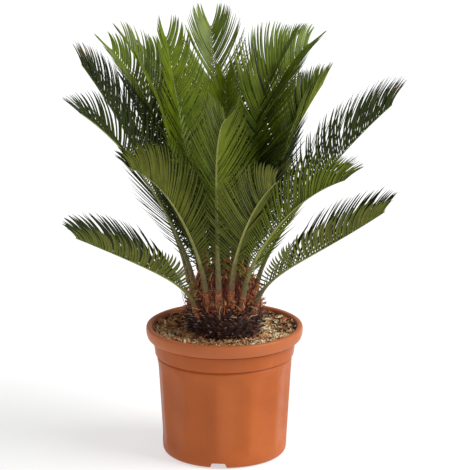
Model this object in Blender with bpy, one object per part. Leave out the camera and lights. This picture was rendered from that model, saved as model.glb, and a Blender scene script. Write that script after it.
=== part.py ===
"""A young sago palm in a round plastic pot, in metres, +Z up.

The origin is the middle of the pot's flat underside, and -Y is the side that faces the viewer.
The pot, the potting mix, the trunk and every frond are closed solids of their own.
"""
import math

import bmesh
import bpy
from mathutils import Vector
from mathutils.bvhtree import BVHTree

# Clearance kept between neighbouring solids
GAP = 0.0003

# Pot: a tapering body, a collar that stands a little proud of it and a thick rounded lip
POT_HEIGHT = 0.201
POT_BASE_RADIUS = 0.0950
POT_WALL = 0.0024
POT_FLOOR = 0.0115
FOOT_ROUND = 0.007
FLOOR_ROUND = 0.004
BODY_TOP = 0.154
BODY_TOP_RADIUS = 0.1035
COLLAR_STEP = 0.003
COLLAR_TOP = 0.1755
COLLAR_FLARE = 0.0028
LIP_RADIUS = 0.1200
OPENING_RADIUS = 0.1115
POT_SEGMENTS = 60
SHARP_ANGLE = 40.0

# Section of the lip, from its lower edge to the opening: how far in from its radius, and height
LIP_SECTION = [
    (0.0045, 0.1790),
    (0.0008, 0.1845),
    (0.0000, 0.1900),
    (0.0006, 0.1955),
    (0.0030, 0.1992),
    (0.0054, POT_HEIGHT),
    (0.0073, 0.2005),
    (LIP_RADIUS - OPENING_RADIUS, 0.1980),
]
LIP_INNER_EDGE = 0.181

# Drain channels that run in under the pot from its foot, narrower at the top
CHANNEL_COUNT = 3
CHANNEL_FIRST = 264.5
CHANNEL_WIDTH = 0.028
CHANNEL_TOP_WIDTH = 0.020
CHANNEL_HEIGHT = 0.009
CHANNEL_REACH = 0.025
CHANNEL_OVERCUT = 0.002

# Potting mix
SOIL_LEVEL = 0.188

# Trunk: height above the soil and radius, from the flat cut up to the woolly dome
TRUNK_PROFILE = [
    (0.000, 0.049),
    (0.010, 0.053),
    (0.028, 0.0555),
    (0.046, 0.0545),
    (0.060, 0.0515),
    (0.072, 0.047),
    (0.082, 0.041),
    (0.090, 0.033),
    (0.096, 0.023),
    (0.099, 0.010),
]
TRUNK_SEGMENTS = 40
DOME_CAP = 0.001
SLOPE_STEP = 0.001

# Frond habit, shared by all fronds
FOOT_RISE = 82.0
FOOT_BEND = 0.12
ROLL_STRETCH = 0.25
PETIOLE_SHARE = 0.17
PAIRS = 18
LEAFLET_SHARE_OF_PITCH = 0.68
FIRST_LEAFLET_SHARE = 0.42
LEAFLET_RISE_RATE = 2.6
LEAFLET_FALL_FROM = 0.35
LEAFLET_FALL = 0.60
LEAFLET_FALL_POWER = 3.2
LEAFLET_TIP_THICKNESS = 0.0011
LEAFLET_TIP_TURN = 4.0
KEEL_RATE = 1.7
SPLAY_AT_FOOT = 62.0
SPLAY_AT_TIP = 18.0
RIB_WIDTH_AT_FOOT = 0.0074
RIB_WIDTH_AT_TIP = 0.0018
RIB_TAPER = 1.9
RIB_DEPTH_SHARE = 0.8
RIB_FOOT_FLARE = 1.2
PETIOLE_SECTIONS = (0.0, 0.06, 0.12)
PETIOLE_STEP_OUT = 0.006
PETIOLE_STEP_UP = 0.006
PATH_STEPS = 120

# A leaflet that would touch something is tried again at these shares of its length, then left out
SHORTER_TRIES = (1.0, 0.8, 0.6, 0.42)
TOUCH_MARGIN = 0.0006

# A frond's numbers, in degrees and metres. azimuth: 0 is right (+X), 90 the far side, 180 left and
# 270 towards the viewer. foot: height on the trunk. lean: rise of the straight stretch above level.
# droop: how far the tip bends down from it. sweep: how far the tip turns to higher azimuths. roll:
# turn of the blade about its rib, which lifts the leaflets on the side of higher azimuths. keels:
# rise of the leaflets out of the blade at its foot and beyond. leaflet: length of the longest one.
USUAL_FROND = {"sweep": 0, "roll": 0, "keels": (12, 47), "leaflet": 0.092}
FRONDS = {
    "frond_low_left": dict(azimuth=225, foot=0.040, lean=28, droop=1, length=0.280, sweep=-4,
                           roll=-16, keels=(30, 50), leaflet=0.084),
    "frond_low_right": dict(azimuth=322, foot=0.046, lean=30, droop=-6, length=0.298, roll=16,
                            keels=(30, 50), leaflet=0.086),
    "frond_low_back_right": dict(azimuth=68, foot=0.044, lean=40, droop=12, length=0.285,
                                 keels=(30, 50), leaflet=0.086),
    "frond_low_back_left": dict(azimuth=112, foot=0.042, lean=40, droop=12, length=0.285,
                                keels=(30, 50), leaflet=0.086),
    "frond_front_left": dict(azimuth=241, foot=0.064, lean=60, droop=38, length=0.315, sweep=-6,
                             roll=10, keels=(40, 65), leaflet=0.086),
    "frond_front": dict(azimuth=262, foot=0.060, lean=74, droop=59, length=0.410, sweep=18,
                        roll=-4, keels=(30, 54)),
    "frond_front_right": dict(azimuth=281, foot=0.067, lean=49, droop=19, length=0.306, sweep=12,
                              roll=-4, keels=(30, 48), leaflet=0.088),
    "frond_right_front": dict(azimuth=298, foot=0.056, lean=50, droop=28, length=0.338, sweep=16,
                              roll=-16, keels=(30, 62)),
    "frond_right": dict(azimuth=334, foot=0.070, lean=55, droop=12, length=0.372, roll=6,
                        keels=(30, 50), leaflet=0.108),
    "frond_left": dict(azimuth=213, foot=0.070, lean=64, droop=28, length=0.350, sweep=-2, roll=26),
    "frond_left_back": dict(azimuth=169, foot=0.068, lean=66, droop=13, length=0.372),
    "frond_back_mid_right": dict(azimuth=58, foot=0.062, lean=56, droop=18, length=0.335),
    "frond_back_mid": dict(azimuth=90, foot=0.062, lean=56, droop=18, length=0.345),
    "frond_back_mid_left": dict(azimuth=128, foot=0.062, lean=58, droop=18, length=0.335),
    "frond_back_right": dict(azimuth=50, foot=0.075, lean=59, droop=20, length=0.332, sweep=-1,
                             roll=-15),
    "frond_upper_left": dict(azimuth=134, foot=0.077, lean=68, droop=34, length=0.388, sweep=4,
                             keels=(12, 24)),
    "frond_upper_left_inner": dict(azimuth=157, foot=0.086, lean=80, droop=29, length=0.368,
                                   keels=(12, 24)),
    "frond_upper_back_left": dict(azimuth=141, foot=0.092, lean=74, droop=-2, length=0.352,
                                  sweep=-8, keels=(12, 30)),
    "frond_upper_back": dict(azimuth=112, foot=0.0895, lean=69, droop=34, length=0.360, sweep=23,
                             keels=(12, 24)),
    "frond_top": dict(azimuth=98, foot=0.081, lean=76, droop=34, length=0.392, sweep=-4,
                      keels=(12, 32), leaflet=0.108),
    "frond_upper_back_right": dict(azimuth=67, foot=0.090, lean=79, droop=54, length=0.366,
                                   sweep=-10, keels=(12, 44), leaflet=0.112),
    "frond_upper_right": dict(azimuth=54, foot=0.087, lean=82, droop=57, length=0.378, sweep=-8,
                              roll=18, keels=(12, 38)),
    "frond_heart": dict(azimuth=84, foot=0.0915, lean=92, droop=-6, length=0.290, leaflet=0.082),
}


def material(name, colour, roughness):
    mat = bpy.data.materials.new(name)
    mat.use_nodes = True
    shader = mat.node_tree.nodes["Principled BSDF"]
    shader.inputs["Base Color"].default_value = (*colour, 1.0)
    shader.inputs["Roughness"].default_value = roughness
    shader.inputs["Metallic"].default_value = 0.0
    return mat


def add_object(name, mesh, mat):
    mesh.materials.append(mat)
    obj = bpy.data.objects.new(name, mesh)
    bpy.context.scene.collection.objects.link(obj)
    return obj


def lathe(name, profile, segments):
    """Turn a closed outline of (radius, height) points; points of radius 0 become poles."""
    mesh_data = bmesh.new()
    rings = []
    for radius, height in profile:
        if radius == 0.0:
            rings.append([mesh_data.verts.new((0.0, 0.0, height))])
            continue
        ring = []
        for index in range(segments):
            angle = 2.0 * math.pi * index / segments
            ring.append(mesh_data.verts.new((radius * math.cos(angle), radius * math.sin(angle), height)))
        rings.append(ring)
    for lower, upper in zip(rings, rings[1:]):
        for index in range(segments):
            after = (index + 1) % segments
            corners = [lower[index % len(lower)], lower[after % len(lower)],
                       upper[after % len(upper)], upper[index % len(upper)]]
            unique = list(dict.fromkeys(corners))
            mesh_data.faces.new(unique)
    bmesh.ops.recalc_face_normals(mesh_data, faces=mesh_data.faces)
    mesh = bpy.data.meshes.new(name)
    mesh_data.to_mesh(mesh)
    mesh_data.free()
    mesh.shade_smooth()
    mesh.set_sharp_from_angle(angle=math.radians(SHARP_ANGLE))
    return mesh


def arc(centre, radius, start, end, steps):
    points = []
    for index in range(steps + 1):
        angle = math.radians(start + (end - start) * index / steps)
        points.append((centre[0] + radius * math.cos(angle), centre[1] + radius * math.sin(angle)))
    return points


def outer_wall():
    """Outside of the pot, from the middle of its underside up and over the lip."""
    foot = arc((POT_BASE_RADIUS - FOOT_ROUND, FOOT_ROUND), FOOT_ROUND, -90, 0, 3)
    collar = [
        (BODY_TOP_RADIUS, BODY_TOP),
        (BODY_TOP_RADIUS + COLLAR_STEP, BODY_TOP + COLLAR_STEP / 2.0),
        (BODY_TOP_RADIUS + COLLAR_STEP + COLLAR_FLARE, COLLAR_TOP),
    ]
    lip = [(LIP_RADIUS - inset, height) for inset, height in LIP_SECTION]
    return [(0.0, 0.0)] + foot + collar + lip


def inner_wall():
    """Inside of the pot, from the middle of its floor up to the lip's inner edge."""
    foot = POT_BASE_RADIUS - POT_WALL
    return [
        (0.0, POT_FLOOR),
        (foot - FLOOR_ROUND, POT_FLOOR),
        (foot, POT_FLOOR + FLOOR_ROUND),
        (BODY_TOP_RADIUS - POT_WALL, BODY_TOP),
        (BODY_TOP_RADIUS + COLLAR_STEP - POT_WALL, BODY_TOP + COLLAR_STEP),
        (OPENING_RADIUS - COLLAR_STEP, LIP_INNER_EDGE),
    ]


def make_pot():
    profile = outer_wall() + inner_wall()[::-1]
    mesh = lathe("pot", profile, POT_SEGMENTS)
    pot = add_object("pot", mesh, material("terracotta_plastic", (0.47, 0.16, 0.055), 0.45))
    for index in range(CHANNEL_COUNT):
        cut_channel(pot, math.radians(CHANNEL_FIRST + 360.0 * index / CHANNEL_COUNT))
    return pot


def cut_channel(pot, azimuth):
    """Take one drain channel out of the pot's foot, wider at the bottom than at the top."""
    outline = [
        (-CHANNEL_WIDTH / 2.0, -CHANNEL_OVERCUT),
        (CHANNEL_WIDTH / 2.0, -CHANNEL_OVERCUT),
        (CHANNEL_TOP_WIDTH / 2.0, CHANNEL_HEIGHT),
        (-CHANNEL_TOP_WIDTH / 2.0, CHANNEL_HEIGHT),
    ]
    mesh_data = bmesh.new()
    ends = []
    for distance in (POT_BASE_RADIUS - CHANNEL_REACH, POT_BASE_RADIUS + CHANNEL_REACH):
        ends.append([mesh_data.verts.new((distance, across, height)) for across, height in outline])
    inner, outer = ends
    mesh_data.faces.new(inner)
    mesh_data.faces.new(outer)
    for index in range(len(outline)):
        after = (index + 1) % len(outline)
        mesh_data.faces.new((inner[index], inner[after], outer[after], outer[index]))
    bmesh.ops.recalc_face_normals(mesh_data, faces=mesh_data.faces)
    mesh = bpy.data.meshes.new("channel_cutter")
    mesh_data.to_mesh(mesh)
    mesh_data.free()
    cutter = bpy.data.objects.new("channel_cutter", mesh)
    bpy.context.scene.collection.objects.link(cutter)
    cutter.rotation_euler = (0.0, 0.0, azimuth)
    cutter.hide_render = True
    cutter.display_type = "WIRE"
    boolean = pot.modifiers.new("drain_channel", "BOOLEAN")
    boolean.operation = "DIFFERENCE"
    boolean.solver = "EXACT"
    boolean.object = cutter


def make_soil():
    """The potting mix fills the pot up to a flat top, clear of the wall and the floor."""
    wall = inner_wall()
    profile = [(0.0, wall[0][1] + GAP)]
    for radius, height in wall[1:]:
        if height < SOIL_LEVEL:
            profile.append((radius - 2.0 * GAP, height + GAP))
    profile += [(wall[-1][0] - 2.0 * GAP, SOIL_LEVEL), (0.0, SOIL_LEVEL)]
    mesh = lathe("potting_mix", profile, POT_SEGMENTS)
    return add_object("potting_mix", mesh, material("potting_mix", (0.06, 0.035, 0.02), 0.95))


def trunk_radius(height):
    """Trunk radius at a height above the soil, read along its profile."""
    for (low, low_radius), (high, high_radius) in zip(TRUNK_PROFILE, TRUNK_PROFILE[1:]):
        if height <= high:
            share = max(0.0, (height - low) / (high - low))
            return low_radius + (high_radius - low_radius) * share
    return 0.0


def make_trunk():
    foot = SOIL_LEVEL + GAP
    profile = [(0.0, foot)]
    for height, radius in TRUNK_PROFILE:
        profile.append((radius, foot + height))
    profile.append((0.0, foot + TRUNK_PROFILE[-1][0] + DOME_CAP))
    mesh = lathe("trunk", profile, TRUNK_SEGMENTS)
    return add_object("trunk", mesh, material("trunk_fibre", (0.10, 0.045, 0.022), 0.9))


def trunk_point(azimuth, height, clear):
    """A point at a height above the soil, clear of the trunk's surface by the given distance."""
    change = trunk_radius(height + SLOPE_STEP) - trunk_radius(height - SLOPE_STEP)
    slope = change / (2.0 * SLOPE_STEP)
    normal_out = 1.0 / math.sqrt(1.0 + slope * slope)
    normal_up = -slope * normal_out
    radius = trunk_radius(height) + clear * normal_out
    level = SOIL_LEVEL + GAP + height + clear * normal_up
    return Vector((radius * math.cos(azimuth), radius * math.sin(azimuth), level))


class Frond:
    """A frond's midrib path, its frames, its rib sections and the sizes of its leaflets."""

    def __init__(self, name, numbers):
        self.name = name
        numbers = {**USUAL_FROND, **numbers}
        self.azimuth = math.radians(numbers["azimuth"])
        self.foot_height = numbers["foot"]
        self.lean = numbers["lean"]
        self.droop = numbers["droop"]
        self.length = numbers["length"]
        self.sweep = numbers["sweep"]
        self.roll = numbers["roll"]
        self.foot_keel, self.keel = numbers["keels"]
        self.longest_leaflet = numbers["leaflet"]
        self.points = self.integrate()
        self.pitch = (1.0 - PETIOLE_SHARE) / PAIRS
        self.leaflet_gaps = {}
        self.sections = self.cut_sections()

    def angles(self, share):
        rise = self.lean + (FOOT_RISE - self.lean) * math.exp(-share / FOOT_BEND) - self.droop * share ** 2
        return math.radians(rise), self.azimuth + math.radians(self.sweep) * share

    def tangent(self, share):
        rise, azimuth = self.angles(share)
        level = math.cos(rise)
        return Vector((level * math.cos(azimuth), level * math.sin(azimuth), math.sin(rise)))

    def integrate(self):
        point = trunk_point(self.azimuth, self.foot_height, PETIOLE_STEP_OUT)
        point.z += PETIOLE_STEP_UP
        points = [point]
        for step in range(PATH_STEPS):
            point = point + self.tangent((step + 0.5) / PATH_STEPS) * (self.length / PATH_STEPS)
            points.append(point)
        return points

    def point(self, share):
        place = min(max(share, 0.0), 1.0) * PATH_STEPS
        index = min(int(place), PATH_STEPS - 1)
        return self.points[index].lerp(self.points[index + 1], place - index)

    def frame(self, share):
        """Direction along the rib, sideways direction and the blade's upper normal."""
        azimuth = self.angles(share)[1]
        along = self.tangent(share)
        level = Vector((-math.sin(azimuth), math.cos(azimuth), 0.0))
        roll = math.radians(self.roll) * min(1.0, share / ROLL_STRETCH)
        side = level * math.cos(roll) + along.cross(level) * math.sin(roll)
        return along, side, along.cross(side)

    def rib_corners(self, share):
        """Three corners of the rib: its upper ridge, then the lower corners on both sides."""
        along, side, up = self.frame(share)
        width = RIB_WIDTH_AT_TIP + (RIB_WIDTH_AT_FOOT - RIB_WIDTH_AT_TIP) * (1.0 - share) ** RIB_TAPER
        across = side * (width / 2.0)
        rise = up * (width * RIB_DEPTH_SHARE / 2.0)
        point = self.point(share)
        return [point + rise, point + across - rise, point - across - rise]

    def foot_corners(self):
        """The rib's three corners where it stands on the trunk, clear of its surface."""
        half = RIB_WIDTH_AT_FOOT * RIB_FOOT_FLARE / 2.0
        radius = trunk_radius(self.foot_height)
        spread = half / radius
        top = self.foot_height + half * RIB_DEPTH_SHARE
        bottom = self.foot_height - half * RIB_DEPTH_SHARE
        clear = GAP + half * half / radius
        return [
            trunk_point(self.azimuth, top, clear),
            trunk_point(self.azimuth + spread, bottom, clear),
            trunk_point(self.azimuth - spread, bottom, clear),
        ]

    def cut_sections(self):
        """Sections of the rib, and the gaps between them that carry a pair of leaflets."""
        sections = [self.foot_corners()]
        sections += [self.rib_corners(share) for share in PETIOLE_SECTIONS]
        for index in range(PAIRS):
            start = PETIOLE_SHARE + index * self.pitch
            end = start + self.pitch * LEAFLET_SHARE_OF_PITCH
            self.leaflet_gaps[len(sections)] = (start + end) / 2.0
            sections += [self.rib_corners(start), self.rib_corners(end)]
        return sections

    def blade_share(self, share):
        return (share - PETIOLE_SHARE) / (1.0 - PETIOLE_SHARE)

    def leaflet_length(self, share):
        """Short near the petiole, longest before the middle, short again at the tip."""
        blade = self.blade_share(share)
        rising = min(1.0, FIRST_LEAFLET_SHARE + LEAFLET_RISE_RATE * blade)
        beyond = max(0.0, (blade - LEAFLET_FALL_FROM) / (1.0 - LEAFLET_FALL_FROM))
        falling = 1.0 - LEAFLET_FALL * beyond ** LEAFLET_FALL_POWER
        return self.longest_leaflet * rising * falling

    def leaflet_direction(self, share, turn):
        """Across the rib at the foot, forward at the tip, and keeled up in a V with its pair."""
        along, side, up = self.frame(share)
        blade = self.blade_share(share)
        splay = math.radians(SPLAY_AT_FOOT + (SPLAY_AT_TIP - SPLAY_AT_FOOT) * blade)
        keeling = min(1.0, KEEL_RATE * blade)
        keel = math.radians(self.foot_keel + (self.keel - self.foot_keel) * keeling)
        outward = side * (turn * math.cos(keel)) + up * math.sin(keel)
        return along * math.cos(splay) + outward * math.sin(splay)

    def leaflet_root(self, gap, turn):
        """The rib's upper panel between two sections on one side, ridge first."""
        lower, upper = self.sections[gap], self.sections[gap + 1]
        outer = 1 if turn > 0 else 2
        return [lower[0], upper[0], upper[outer], lower[outer]]

    def leaflet_tip(self, gap, turn, scale):
        """The leaflet's end: two corners, one above the other, out from the middle of its root."""
        share = self.leaflet_gaps[gap]
        root = self.leaflet_root(gap, turn)
        up = self.frame(share)[2]
        direction = self.leaflet_direction(share, turn)
        length = self.leaflet_length(share) * scale
        normal = direction.cross(root[1] - root[0]).normalized()
        if normal.dot(up) < 0.0:
            normal.negate()
        middle = (root[0] + root[1] + root[2] + root[3]) / 4.0
        end = middle + direction * length - up * (length * math.sin(math.radians(LEAFLET_TIP_TURN)))
        half = normal * (LEAFLET_TIP_THICKNESS / 2.0)
        return end + half, end - half

    def rib_tree(self):
        """Search tree of the rib alone, for the touching tests."""
        verts = [corner for section in self.sections for corner in section]
        faces = []
        for first in range(0, len(verts) - 3, 3):
            for side in range(3):
                other = (side + 1) % 3
                faces.append((first + side, first + other, first + 3 + other, first + 3 + side))
        return BVHTree.FromPolygons(verts, faces)


def leaflet_tree(root, tips):
    """Search tree of one leaflet, made a little thicker and wider than it is."""
    thicker = (tips[0] - tips[1]).normalized() * TOUCH_MARGIN
    wider = (root[1] - root[0]).normalized() * TOUCH_MARGIN
    longer = ((tips[0] + tips[1]) / 2.0 - (root[0] + root[2]) / 2.0).normalized() * TOUCH_MARGIN
    verts = [
        root[0] + thicker - wider, root[1] + thicker + wider,
        root[2] - thicker + wider, root[3] - thicker - wider,
        tips[0] + thicker + longer - wider, tips[0] + thicker + longer + wider,
        tips[1] - thicker + longer + wider, tips[1] - thicker + longer - wider,
    ]
    faces = [(0, 1, 5, 4), (1, 2, 6, 5), (2, 3, 7, 6), (3, 0, 4, 7), (4, 5, 6, 7)]
    return BVHTree.FromPolygons(verts, faces)


def grow_leaflets(frond, obstacles):
    """Tips of the leaflets that stay clear of all obstacles, keyed by gap and side."""
    tips = {}
    for gap in frond.leaflet_gaps:
        for turn in (1, -1):
            root = frond.leaflet_root(gap, turn)
            for scale in SHORTER_TRIES:
                pair = frond.leaflet_tip(gap, turn, scale)
                tree = leaflet_tree(root, pair)
                if not any(tree.overlap(obstacle) for obstacle in obstacles):
                    tips[(gap, turn)] = pair
                    break
    return tips


def frond_mesh(frond, tips):
    """One closed body: the three-sided rib with its leaflets drawn out of its upper panels."""
    mesh_data = bmesh.new()
    rings = [[mesh_data.verts.new(corner) for corner in section] for section in frond.sections]
    for gap in range(len(rings) - 1):
        lower, upper = rings[gap], rings[gap + 1]
        mesh_data.faces.new((lower[1], lower[2], upper[2], upper[1]))
        for turn, outer in ((1, 1), (-1, 2)):
            root = [lower[0], upper[0], upper[outer], lower[outer]]
            if (gap, turn) not in tips:
                mesh_data.faces.new(root)
                continue
            above, below = [mesh_data.verts.new(tip) for tip in tips[(gap, turn)]]
            mesh_data.faces.new((root[0], root[1], above))
            mesh_data.faces.new((root[2], root[3], below))
            mesh_data.faces.new((root[1], root[2], below, above))
            mesh_data.faces.new((root[3], root[0], above, below))
    mesh_data.faces.new(rings[0])
    mesh_data.faces.new(rings[-1])
    bmesh.ops.triangulate(mesh_data, faces=mesh_data.faces)
    bmesh.ops.recalc_face_normals(mesh_data, faces=mesh_data.faces)
    mesh = bpy.data.meshes.new(frond.name)
    mesh_data.to_mesh(mesh)
    mesh_data.free()
    return mesh


def object_tree(obj):
    verts = [vert.co.copy() for vert in obj.data.vertices]
    return BVHTree.FromPolygons(verts, [tuple(face.vertices) for face in obj.data.polygons])


def make_fronds(solids):
    """Ribs first, then the leaflets, each only where it touches nothing that is already there."""
    green = material("leaf_green", (0.055, 0.115, 0.028), 0.5)
    fronds = [Frond(name, numbers) for name, numbers in FRONDS.items()]
    ribs = {frond.name: frond.rib_tree() for frond in fronds}
    grown = [object_tree(solid) for solid in solids]
    for frond in fronds:
        other_ribs = [tree for name, tree in ribs.items() if name != frond.name]
        tips = grow_leaflets(frond, grown + other_ribs)
        obj = add_object(frond.name, frond_mesh(frond, tips), green)
        grown.append(object_tree(obj))


def main():
    for obj in list(bpy.data.objects):
        bpy.data.objects.remove(obj, do_unlink=True)
    make_fronds([make_pot(), make_soil(), make_trunk()])


main()
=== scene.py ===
"""Looks of a young sago palm in a plastic pot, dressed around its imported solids.

Metres, +Z up. The origin is the middle of the pot's flat underside and -Y faces the viewer.
"""
import math
import random

import bmesh
import bpy
import numpy as np
from mathutils import Matrix, Vector, noise


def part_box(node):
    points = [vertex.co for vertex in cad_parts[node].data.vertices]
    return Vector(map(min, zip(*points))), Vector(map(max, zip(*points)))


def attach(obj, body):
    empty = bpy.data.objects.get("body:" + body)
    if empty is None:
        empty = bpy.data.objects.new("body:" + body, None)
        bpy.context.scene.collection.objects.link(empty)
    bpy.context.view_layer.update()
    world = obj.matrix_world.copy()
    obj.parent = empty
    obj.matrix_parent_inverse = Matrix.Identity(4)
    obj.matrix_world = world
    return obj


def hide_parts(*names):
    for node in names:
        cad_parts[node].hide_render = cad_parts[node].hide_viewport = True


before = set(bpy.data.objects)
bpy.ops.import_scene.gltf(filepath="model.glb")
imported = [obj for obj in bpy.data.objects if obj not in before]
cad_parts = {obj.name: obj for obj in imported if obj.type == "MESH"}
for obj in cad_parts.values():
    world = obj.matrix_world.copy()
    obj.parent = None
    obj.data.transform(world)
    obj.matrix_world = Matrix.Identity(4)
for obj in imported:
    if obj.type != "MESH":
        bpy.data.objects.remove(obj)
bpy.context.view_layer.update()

UP = Vector((0.0, 0.0, 1.0))

# Sizes read from the solids
POT_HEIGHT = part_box("pot")[1].z
LIP_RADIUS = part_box("pot")[1].x
SOIL_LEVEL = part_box("potting_mix")[1].z
TRUNK_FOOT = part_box("trunk")[0].z
TRUNK_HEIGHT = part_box("trunk")[1].z - TRUNK_FOOT

# Pot outline, the same as the solid's
POT_BASE_RADIUS = 0.0950
BODY_TOP = 0.154
BODY_TOP_RADIUS = 0.1035
COLLAR_STEP = 0.003
COLLAR_TOP = 0.1755
OPENING_RADIUS = 0.1115
POT_WALL = 0.0024
POT_FLOOR = 0.0115

# Finer work on the pot: the groove under its collar, its mesh, and where the lip's paler tone starts,
# painted light that the lip catches
UNDERCUT = 0.0022
POT_SEGMENTS = 240
OUTLINE_STEP = 0.006
FILLET_STEPS = 5
POT_SHARP = 35.0
LIT_LIP_LOW = COLLAR_TOP + 0.0052

# Shallow flutes round the pot's body
FLUTE_COUNT = 12
FLUTE_FIRST = 263.0
FLUTE_DEPTH = 0.0030
FLUTE_POWER = 1.4
FLUTE_LOW = 0.016
FLUTE_HIGH = 0.149
FLUTE_FADE = 0.012
FLUTE_EDGE = 0.002

# Drain channels at the pot's foot, the same as the solid's
CHANNEL_COUNT = 3
CHANNEL_FIRST = 264.5
CHANNEL_WIDTH = 0.028
CHANNEL_TOP_WIDTH = 0.020
CHANNEL_HEIGHT = 0.009
CHANNEL_REACH = 0.025
CHANNEL_OVERCUT = 0.002
CHANNEL_ROUND = 0.002
CHANNEL_ROUND_STEPS = 4

# Trunk: height above its foot and radius, the same as the solid's
TRUNK_PROFILE = [
    (0.000, 0.049), (0.010, 0.053), (0.028, 0.0555), (0.046, 0.0545), (0.060, 0.0515),
    (0.072, 0.047), (0.082, 0.041), (0.090, 0.033), (0.096, 0.023), (0.099, 0.010),
]
GOLDEN_ANGLE = math.radians(137.508)
TRUNK_SEED = 5
WOOL_LINE = 0.047
WOOL_BLEND = 0.010

# The rough body under the scales: its mesh, its share of the height, how far it lies in, and the
# rates and sizes of its roughness
CORE_ROWS = 60
CORE_SEGMENTS = 120
CORE_REACH = 0.985
CORE_SINK = 0.0030
CORE_ROUGH_RATE = 150.0
CORE_ROUGH = 0.0016
CORE_FINE_RATE = 420.0
CORE_FINE = 0.0009

# Scales
SCALE_STEPS = 6
SCALE_SIDES = 8
SCALE_DEPTH = 0.0026
SCALE_SINK = 0.002
SCALE_ROUGH = 0.00035
SCALE_WOOL_RISE = 0.006

# Fibres and loose strips of bark
FIBRE_COUNT = 6500
FIBRE_CLEAR = (-0.001, 0.002)
FIBRE_RADII = (0.00015, 0.0004)
FIBRE_CURL = 1.1
FIBRE_DROOP = 0.2
STRIP_COUNT = 260
STRIP_HEIGHTS = (0.036, 0.085)
STRIP_CLEAR = (0.002, 0.009)
STRIP_RADII = (0.0004, 0.0011)
STRIP_CURL = 0.9

# Foot of a petiole: how far below the frond's foot it lies on the trunk, half width and half depth
PETIOLE_BASE = [(0.011, 0.0030, 0.0010), (0.008, 0.0050, 0.0022), (0.004, 0.0058, 0.0034),
                (0.001, 0.0058, 0.0040)]
PETIOLE_ROUGH = 0.0004
PETIOLE_SINK = 0.0016

# Potting mix: how far its bed lies under the solid's level, its lumps, the heap against the trunk,
# the bank against the rim, and the bed's mesh
SOIL_SEED = 11
SOIL_SINK = 0.003
SOIL_LUMPS = 0.0050
LUMP_RATE = 46.0
FINE_LUMP_RATE = 140.0
HEAP_HEIGHT = 0.004
HEAP_RADIUS = 0.080
HEAP_REACH = 0.030
BANK_HEIGHT = 0.010
BANK_RADIUS = 0.078
BANK_REACH = 0.026
BED_RINGS = 40
BED_SEGMENTS = 96
BED_CLEAR = 0.0035
BED_DEPTH = 0.012
BED_TAPER = 0.93

# What lies on the bed. A chip's or crumb's widths and depths are shares of its length; rise is how
# far it may lie above the bed and tilt how far it leans, in radians.
CHIPS = {"count": 2300, "lengths": (0.0060, 0.0150), "widths": (0.15, 0.36), "depths": (0.10, 0.22),
         "rise": 0.0026, "tilt": 0.38}
LONG_CHIP_SHARE = 0.06
LONG_CHIP_STRETCH = 1.4
CRUMBS = {"count": 3600, "lengths": (0.0013, 0.0030), "widths": (0.5, 0.9), "depths": (0.4, 0.8),
          "rise": 0.0016, "tilt": 0.6}
SOIL_FIBRE_COUNT = 420
SOIL_FIBRE_LENGTHS = (0.006, 0.018)
SOIL_FIBRE_RADIUS = 0.00025

# Frond habit, the same as the solids'
FOOT_RISE = 82.0
FOOT_BEND = 0.12
ROLL_STRETCH = 0.25
PETIOLE_SHARE = 0.17
FIRST_LEAFLET_SHARE = 0.42
LEAFLET_RISE_RATE = 2.6
LEAFLET_FALL_FROM = 0.35
LEAFLET_FALL = 0.60
LEAFLET_FALL_POWER = 3.2
KEEL_RATE = 1.7
SPLAY_AT_FOOT = 62.0
SPLAY_AT_TIP = 18.0
RIB_WIDTH_AT_FOOT = 0.0074
RIB_WIDTH_AT_TIP = 0.0018
RIB_TAPER = 1.9
PETIOLE_STEP_OUT = 0.006
PETIOLE_STEP_UP = 0.006
PATH_STEPS = 120

# Finer ribs: rows and sides, how much wider the petiole starts, and where its tones change
RIB_ROWS = 60
RIB_ROW_POWER = 1.6
RIB_SIDES = 10
RIB_ABOVE = 0.55
RIB_BELOW = 0.95
GROOVE_SIDES = (2, 3)
GROOVE_DEPTH = 0.35
PETIOLE_FLARE = 0.50
PETIOLE_FLARE_SHARE = 0.30
RIB_TONE_LIMITS = [0.022, 0.052, 0.14, 0.26, 0.88]
RIB_WOOLS = [0, 0, 1, 6]
RIB_SEED = 200

# The finer leaflets
LEAFLET_SEED = 100
LEAFLET_PITCH = {"olive": 0.0054, "fresh": 0.0045, "deep": 0.0046}
FIRST_SPINE_SHARE = 0.055
SPINE_PITCH = 0.0085
SPINE_SPLAY = 20.0
SPINE_SPREAD = 9.0
LEAFLET_WIDTH = {"olive": 0.0043, "fresh": 0.0034, "deep": 0.0027}
LEAFLET_STEPS = 9
SHORT_LEAFLET = 0.03
SHORT_LEAFLET_STEPS = 4
LEAFLET_THICKNESS = 0.00045
LEAFLET_CURVE = 28.0
LEAFLET_LIFT = 8.0
LEAFLET_DROOP = 0.08
LEAFLET_SPREAD = 1.3
LEAFLET_JITTER = 0.0009
LEAFLET_TWIST = 12.0
TWIST_SPREAD = 13.0
LAST_LEAFLET_SHARE = 0.995
# Leaflets in deep green, the painted shade, are wider, and where that stretch ends wavers
DEEP_WIDENING = 1.3
DEEP_SPREAD = 0.10
CLUMP_TURN = 3.0
CLUMP_KEEL = 1.6
CLUMP_RATE = 34.0

# Section of a leaflet, as shares of its half width: the ridge's rise, the edge's fall, how far in
# and down the rolled-down edge goes, and the hollow below
RIDGE_RISE = 0.16
EDGE_FALL = 0.22
ROLL_IN = 0.80
ROLL_FALL = 0.45
HOLLOW_RISE = 0.02
NEEDLE_HALF_WIDTH = 0.00012
DRY_FROM = 0.6
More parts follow.
